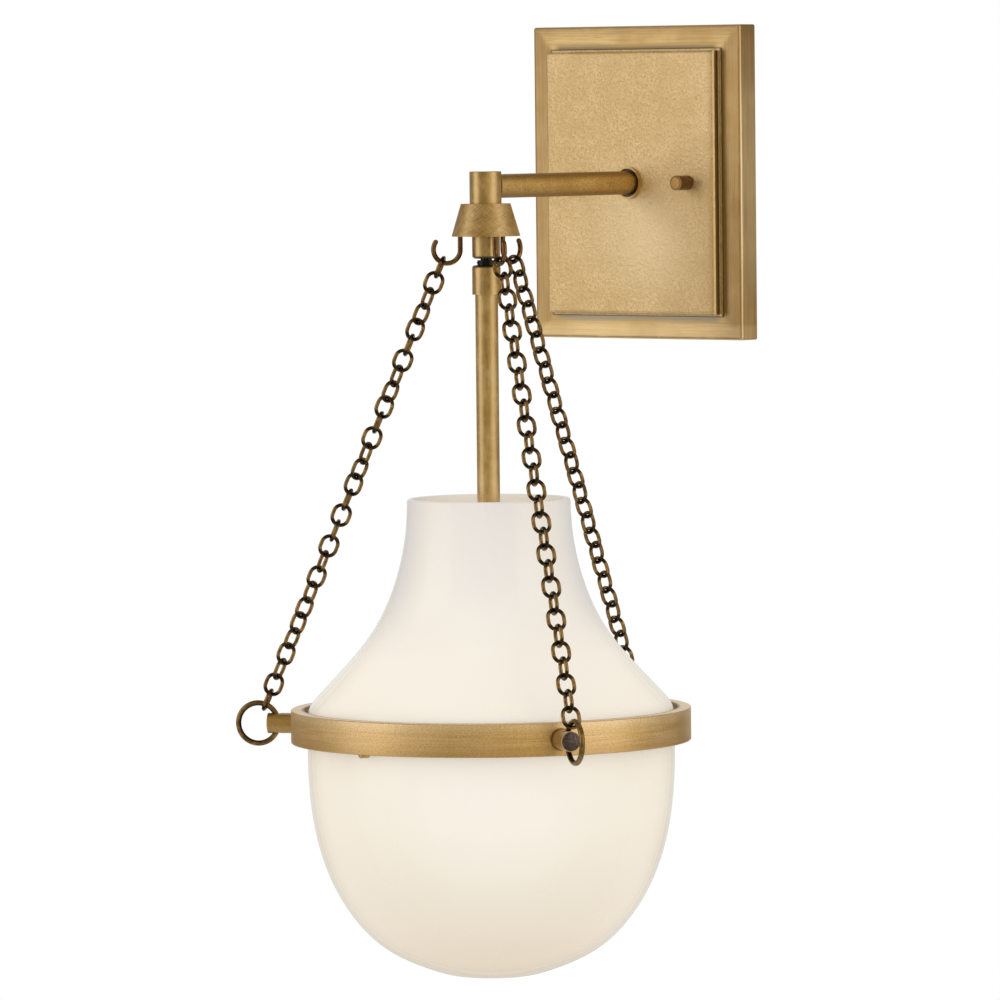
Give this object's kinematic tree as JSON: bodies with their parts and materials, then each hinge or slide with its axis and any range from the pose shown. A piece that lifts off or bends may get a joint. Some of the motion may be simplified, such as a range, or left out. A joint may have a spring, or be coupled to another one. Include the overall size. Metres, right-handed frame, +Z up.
{
  "type": "hanging pendant wall sconce",
  "caption": "Wall sconce: rectangular stepped wall plate, straight arm, and an opal glass bell in a metal band, hung on chains round a swivelled lamp stem.",
  "frame": {"origin": "centre of the wall plate, in the wall plane, midway between the two box-screw slots", "axes": "+X right along the wall for a person facing it, +Y into the wall, +Z up; the arm points along -Y"},
  "size_m": [0.2492, 0.2564, 0.5237],
  "materials": {
    "plate_brass": "satin, aged",
    "turned_brass": "brushed, aged",
    "inner_brass": "dull",
    "band_brass": "brushed along its length",
    "stub_brass": "brushed, dark end face",
    "chain_brass": "antique, dark in the recesses",
    "zinc_steel": "zinc plated",
    "earth_green": "satin",
    "opal_glass": "glossy, opal",
    "lamp_glass": "frosted",
    "lamp_base_metal": "bright",
    "lampholder_ceramic": "glazed",
    "gasket_rubber": "matte"
  },
  "bodies": {
    "wall_frame": {"arm_collar": "turned_brass", "arm_hub": "turned_brass", "arm_locknut": "inner_brass", "arm_tube": "turned_brass", "arm_washer": "zinc_steel", "box_strap": "zinc_steel", "crossbar": "zinc_steel", "cup_spacer": "inner_brass", "ground_screw": "earth_green", "hook_back": "chain_brass", "hook_cup": "turned_brass", "hook_front": "chain_brass", "hook_left": "chain_brass", "hook_plate": "inner_brass", "hub_nipple": "inner_brass", "raised_panel": "plate_brass", "strap_rivet": "zinc_steel", "stud_screws": "zinc_steel", "upper_coupling": "turned_brass", "wall_pan": "plate_brass"},
    "nut_left": {"cap_nut_left": "turned_brass"},
    "nut_right": {"cap_nut_right": "turned_brass"},
    "stem": {"swivel_ball": "inner_brass", "swivel_locknut": "inner_brass", "lower_coupling": "turned_brass", "stem_tube": "turned_brass", "socket_cup": "turned_brass", "lampholder": "lampholder_ceramic"},
    "lamp": {"bulb_base": "lamp_base_metal", "bulb_glass": "lamp_glass"},
    "shade": {"glass_shade": "opal_glass", "shade_band": "band_brass", "upper_gasket": "gasket_rubber", "lower_gasket": "gasket_rubber", "retaining_ring": "band_brass", "retainer_screws": "band_brass", "stub_left": "stub_brass", "stub_front": "stub_brass", "stub_back": "stub_brass"},
    "chain_left_body": {"chain_left": "chain_brass"},
    "ring_left_body": {"ring_left": "chain_brass"},
    "chain_front_body": {"chain_front": "chain_brass"},
    "ring_front_body": {"ring_front": "chain_brass"},
    "chain_back_body": {"chain_back": "chain_brass"},
    "ring_back_body": {"ring_back": "chain_brass"}
  },
  "joints": [
    {"name": "shade_swing", "type": "hinge", "parent": "wall_frame", "child": "shade", "pos_m": [0, -0.146, 0.01794], "axis": [0, 1, 0], "range_deg": [-3, 3]},
    {"name": "stem_swing", "type": "hinge", "parent": "wall_frame", "child": "stem", "pos_m": [0, -0.146, -0.0345], "axis": [0, 1, 0], "range_deg": [-8, 8]},
    {"name": "lamp_turn", "type": "hinge", "parent": "stem", "child": "lamp", "pos_m": [0, -0.146, -0.2602], "axis": [0, 0, 1], "continuous": true},
    {"name": "cap_nut_left_turn", "type": "hinge", "parent": "wall_frame", "child": "nut_left", "pos_m": [-0.0419, -0.0202, 0], "axis": [0, 1, 0], "continuous": true},
    {"name": "cap_nut_right_turn", "type": "hinge", "parent": "wall_frame", "child": "nut_right", "pos_m": [0.0419, -0.0202, 0], "axis": [0, 1, 0], "continuous": true},
    {"name": "chain_left_swing", "type": "hinge", "parent": "wall_frame", "child": "chain_left_body", "pos_m": [-0.02146, -0.15839, -0.04152], "axis": [0, 1, 0], "range_deg": [-3.8, 3.8]},
    {"name": "ring_left_turn", "type": "hinge", "parent": "shade", "child": "ring_left_body", "pos_m": [-0.10441, -0.20628, -0.29635], "axis": [0, 0, 1], "range_deg": [-6, 6]},
    {"name": "chain_front_swing", "type": "hinge", "parent": "wall_frame", "child": "chain_front_body", "pos_m": [0.02146, -0.15839, -0.04152], "axis": [0, 1, 0], "range_deg": [-3.8, 3.8]},
    {"name": "ring_front_turn", "type": "hinge", "parent": "shade", "child": "ring_front_body", "pos_m": [0.10441, -0.20628, -0.29635], "axis": [0, 0, 1], "range_deg": [-6, 6]},
    {"name": "chain_back_swing", "type": "hinge", "parent": "wall_frame", "child": "chain_back_body", "pos_m": [0, -0.12121, -0.04152], "axis": [0, 1, 0], "range_deg": [-3.8, 3.8]},
    {"name": "ring_back_turn", "type": "hinge", "parent": "shade", "child": "ring_back_body", "pos_m": [0, -0.02544, -0.29635], "axis": [0, 0, 1], "range_deg": [-6, 6]}
  ],
  "couplings": [
    {"joint": "chain_left_swing", "follows": "shade_swing", "ratio": 1.2432},
    {"joint": "chain_front_swing", "follows": "shade_swing", "ratio": 1.2432},
    {"joint": "chain_back_swing", "follows": "shade_swing", "ratio": 1.2432}
  ]
}
